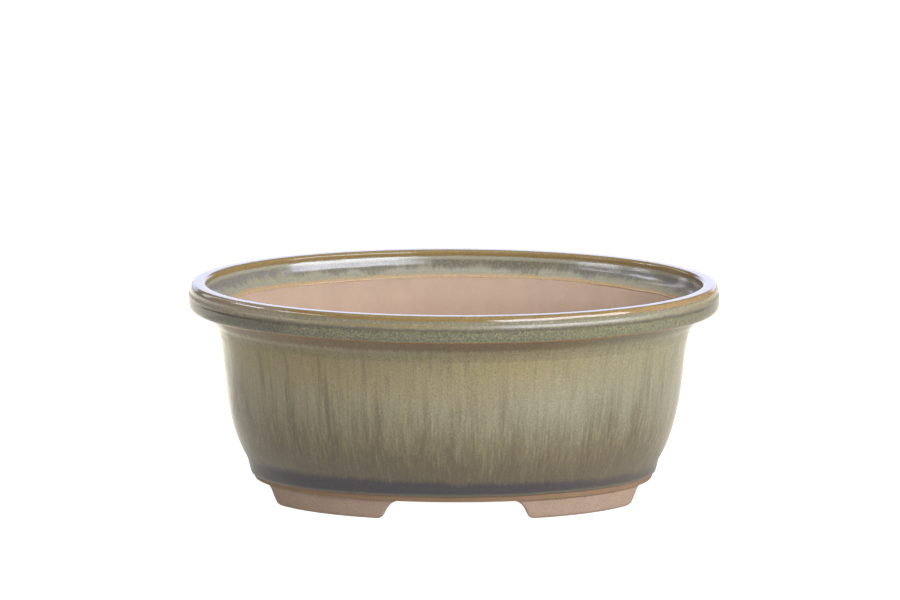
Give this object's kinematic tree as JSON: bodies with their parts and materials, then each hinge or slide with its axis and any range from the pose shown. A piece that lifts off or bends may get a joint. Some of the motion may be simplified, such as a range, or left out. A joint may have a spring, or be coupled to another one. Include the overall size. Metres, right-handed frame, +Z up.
{
  "type": "bonsai pot",
  "caption": "Oval glazed stoneware bonsai pot with an out-turned lip, a curved wall, a drained floor and low feet with arched gaps, made to stand on a flat surface.",
  "frame": {"origin": "on the ground, under the middle of the pot", "axes": "+X along the length, +Y away from the front, +Z up"},
  "size_m": [0.21, 0.16, 0.0861],
  "materials": {
    "clay": "bare fired stoneware, pinkish tan, matt",
    "foot_clay": "bare fired stoneware, greyer and speckled, matt",
    "glaze": "glossy olive-brown glaze with pale runs, amber on the edges"
  },
  "bodies": {
    "root": {"floor_slab": "clay", "wall": "clay", "lip": "clay", "foot_front_left": "foot_clay", "foot_front_right": "foot_clay", "foot_back_left": "foot_clay", "foot_back_right": "foot_clay", "glaze_coat": "glaze"}
  },
  "joints": []
}
